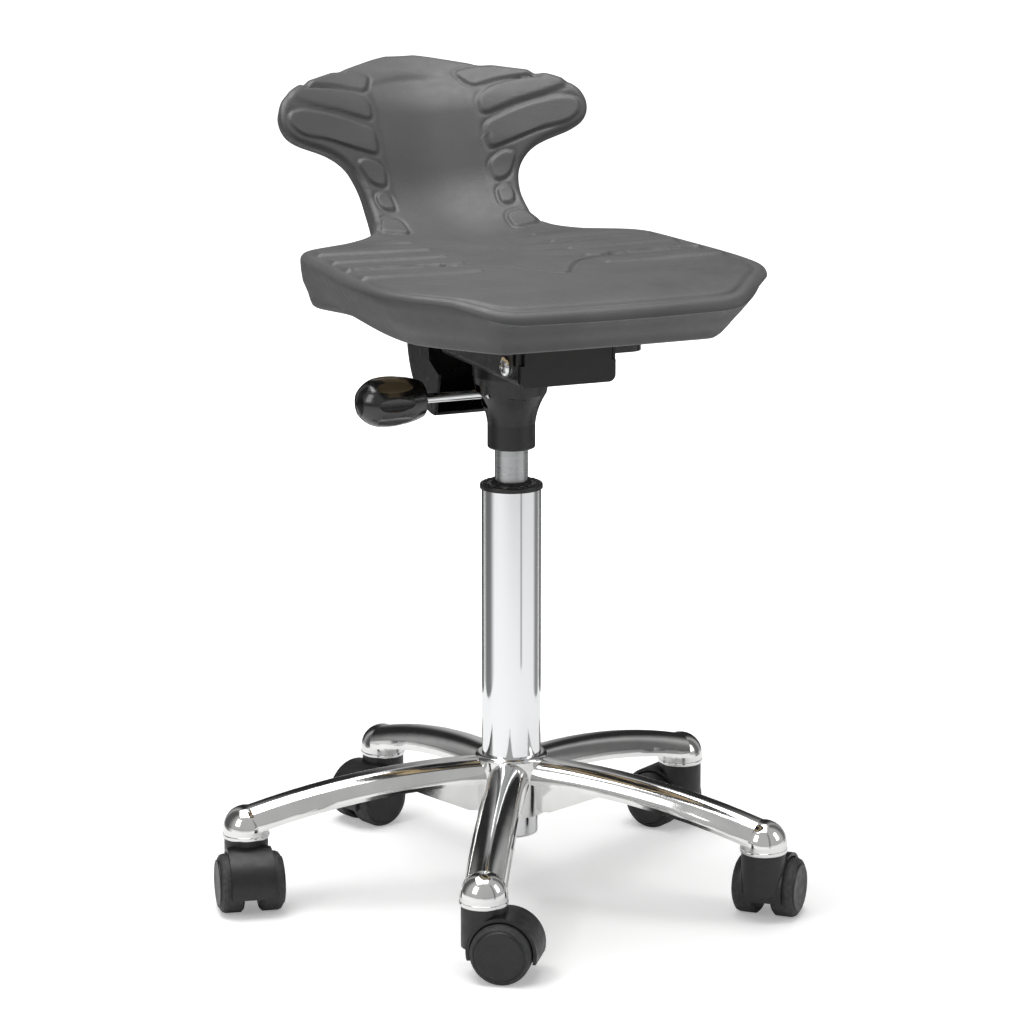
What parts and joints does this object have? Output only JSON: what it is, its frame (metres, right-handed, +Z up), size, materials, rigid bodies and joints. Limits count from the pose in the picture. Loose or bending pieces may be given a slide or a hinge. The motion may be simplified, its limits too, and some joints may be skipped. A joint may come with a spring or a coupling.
{
  "type": "perch stool",
  "caption": "Perch stool: moulded grooved seat with a low winged back, tilting mechanism under it, gas lift column and a polished star base on twin-wheel casters.",
  "frame": {"origin": "on the floor, on the axis of the gas column", "axes": "+Z up; -Y the way the sitter faces, so the seat front is at -Y and the back at +Y; X across the seat, symmetric about X=0 apart from the levers and the base"},
  "size_m": [0.4907, 0.5104, 0.6903],
  "materials": {
    "polished_aluminium": "mirror polished die casting",
    "chromed_steel": "bright chrome plate",
    "satin_steel": "fine ground",
    "plain_steel": "plain zinc plated",
    "moulded_black": "fine grain moulding",
    "gloss_black": "smooth moulding",
    "caster_nylon": "satin nylon moulding",
    "soft_tread": "soft grey tread",
    "black_paint": "satin black powder coat",
    "black_rubber": "moulded rubber",
    "birch_ply": "bare plywood",
    "grey_polyurethane": "integral skin foam, fine leather grain"
  },
  "bodies": {
    "base": {"base_star": "polished_aluminium", "column_tube": "chromed_steel", "guide_bush": "moulded_black", "thrust_bearing": "plain_steel"},
    "spindle": {"piston_rod": "plain_steel", "rubber_buffer": "black_rubber", "retaining_clip": "plain_steel"},
    "lift": {"gas_cylinder": "satin_steel", "cone_collar": "moulded_black", "mechanism_housing": "black_paint", "pivot_axle": "plain_steel", "pivot_screws": "chromed_steel", "front_cover": "moulded_black", "elastomer_springs": "black_rubber"},
    "seat": {"seat_carrier": "black_paint", "rear_bracket": "black_paint", "seat_bolts": "plain_steel", "seat_insert": "birch_ply", "seat_shell": "grey_polyurethane"},
    "lift_lever": {"lift_lever_rod": "chromed_steel", "lift_lever_knob": "gloss_black"},
    "release_pin": {"release_pin": "plain_steel"},
    "tilt_lever": {"tilt_lever_rod": "chromed_steel", "tilt_lever_grip": "gloss_black"},
    "caster_1": {"caster_1_hood": "caster_nylon", "caster_1_stem": "plain_steel", "caster_1_axle": "plain_steel"},
    "caster_1_left": {"caster_1_wheel_left": "caster_nylon", "caster_1_tread_left": "soft_tread"},
    "caster_1_right": {"caster_1_wheel_right": "caster_nylon", "caster_1_tread_right": "soft_tread"},
    "caster_2": {"caster_2_hood": "caster_nylon", "caster_2_stem": "plain_steel", "caster_2_axle": "plain_steel"},
    "caster_2_left": {"caster_2_wheel_left": "caster_nylon", "caster_2_tread_left": "soft_tread"},
    "caster_2_right": {"caster_2_wheel_right": "caster_nylon", "caster_2_tread_right": "soft_tread"},
    "caster_3": {"caster_3_hood": "caster_nylon", "caster_3_stem": "plain_steel", "caster_3_axle": "plain_steel"},
    "caster_3_left": {"caster_3_wheel_left": "caster_nylon", "caster_3_tread_left": "soft_tread"},
    "caster_3_right": {"caster_3_wheel_right": "caster_nylon", "caster_3_tread_right": "soft_tread"},
    "caster_4": {"caster_4_hood": "caster_nylon", "caster_4_stem": "plain_steel", "caster_4_axle": "plain_steel"},
    "caster_4_left": {"caster_4_wheel_left": "caster_nylon", "caster_4_tread_left": "soft_tread"},
    "caster_4_right": {"caster_4_wheel_right": "caster_nylon", "caster_4_tread_right": "soft_tread"},
    "caster_5": {"caster_5_hood": "caster_nylon", "caster_5_stem": "plain_steel", "caster_5_axle": "plain_steel"},
    "caster_5_left": {"caster_5_wheel_left": "caster_nylon", "caster_5_tread_left": "soft_tread"},
    "caster_5_right": {"caster_5_wheel_right": "caster_nylon", "caster_5_tread_right": "soft_tread"}
  },
  "joints": [
    {"name": "seat_swivel", "type": "hinge", "parent": "base", "child": "spindle", "pos_m": [0, 0, 0.06], "axis": [0, 0, 1], "continuous": true},
    {"name": "seat_height", "type": "slide", "parent": "spindle", "child": "lift", "axis": [0, 0, 1], "range_m": [-0.025, 0.165]},
    {"name": "seat_tilt", "type": "hinge", "parent": "lift", "child": "seat", "pos_m": [0, -0.088, 0.4715], "axis": [1, 0, 0], "range_deg": [0, 8]},
    {"name": "lift_lever_pull", "type": "hinge", "parent": "lift", "child": "lift_lever", "pos_m": [-0.026, 0, 0.4317], "axis": [0, 1, 0], "range_deg": [0, 7], "stiffness_Nm_per_rad": 1, "springref_deg": -8.59},
    {"name": "release_press", "type": "slide", "parent": "lift", "child": "release_pin", "axis": [0, 0, -1], "range_m": [0, 0.0032], "stiffness_N_per_m": 1500, "springref_m": -0.0005},
    {"name": "tilt_lever_turn", "type": "hinge", "parent": "lift", "child": "tilt_lever", "pos_m": [0.041, -0.029, 0.472], "axis": [1, 0, 0], "range_deg": [-20, 20]},
    {"name": "caster_1_swivel", "type": "hinge", "parent": "base", "child": "caster_1", "pos_m": [-0.11102, -0.20029, 0.06], "axis": [0, 0, 1], "continuous": true},
    {"name": "caster_1_left_roll", "type": "hinge", "parent": "caster_1", "child": "caster_1_left", "pos_m": [-0.09637, -0.21074, 0.025], "axis": [0.5807, 0.8141, 0], "continuous": true},
    {"name": "caster_1_right_roll", "type": "hinge", "parent": "caster_1", "child": "caster_1_right", "pos_m": [-0.09637, -0.21074, 0.025], "axis": [0.5807, 0.8141, 0], "continuous": true},
    {"name": "caster_2_swivel", "type": "hinge", "parent": "base", "child": "caster_2", "pos_m": [0.15618, -0.16748, 0.06], "axis": [0, 0, 1], "continuous": true},
    {"name": "caster_2_left_roll", "type": "hinge", "parent": "caster_2", "child": "caster_2_left", "pos_m": [0.16879, -0.15464, 0.025], "axis": [-0.7133, 0.7009, 0], "continuous": true},
    {"name": "caster_2_right_roll", "type": "hinge", "parent": "caster_2", "child": "caster_2_right", "pos_m": [0.16879, -0.15464, 0.025], "axis": [-0.7133, 0.7009, 0], "continuous": true},
    {"name": "caster_3_swivel", "type": "hinge", "parent": "base", "child": "caster_3", "pos_m": [0.20754, 0.09678, 0.06], "axis": [0, 0, 1], "continuous": true},
    {"name": "caster_3_left_roll", "type": "hinge", "parent": "caster_3", "child": "caster_3_left", "pos_m": [0.1983, 0.11223, 0.025], "axis": [-0.8581, -0.5135, 0], "continuous": true},
    {"name": "caster_3_right_roll", "type": "hinge", "parent": "caster_3", "child": "caster_3_right", "pos_m": [0.1983, 0.11223, 0.025], "axis": [-0.8581, -0.5135, 0], "continuous": true},
    {"name": "caster_4_swivel", "type": "hinge", "parent": "base", "child": "caster_4", "pos_m": [-0.02791, 0.22729, 0.06], "axis": [0, 0, 1], "continuous": true},
    {"name": "caster_4_left_roll", "type": "hinge", "parent": "caster_4", "child": "caster_4_left", "pos_m": [-0.04512, 0.22203, 0.025], "axis": [0.2924, -0.9563, 0], "continuous": true},
    {"name": "caster_4_right_roll", "type": "hinge", "parent": "caster_4", "child": "caster_4_right", "pos_m": [-0.04512, 0.22203, 0.025], "axis": [0.2924, -0.9563, 0], "continuous": true},
    {"name": "caster_5_swivel", "type": "hinge", "parent": "base", "child": "caster_5", "pos_m": [-0.22479, 0.04369, 0.06], "axis": [0, 0, 1], "continuous": true},
    {"name": "caster_5_left_roll", "type": "hinge", "parent": "caster_5", "child": "caster_5_left", "pos_m": [-0.22838, 0.02606, 0.025], "axis": [0.9799, -0.1994, 0], "continuous": true},
    {"name": "caster_5_right_roll", "type": "hinge", "parent": "caster_5", "child": "caster_5_right", "pos_m": [-0.22838, 0.02606, 0.025], "axis": [0.9799, -0.1994, 0], "continuous": true}
  ],
  "couplings": [
    {"joint": "release_press", "follows": "lift_lever_pull", "m_per_rad": 0.026}
  ]
}
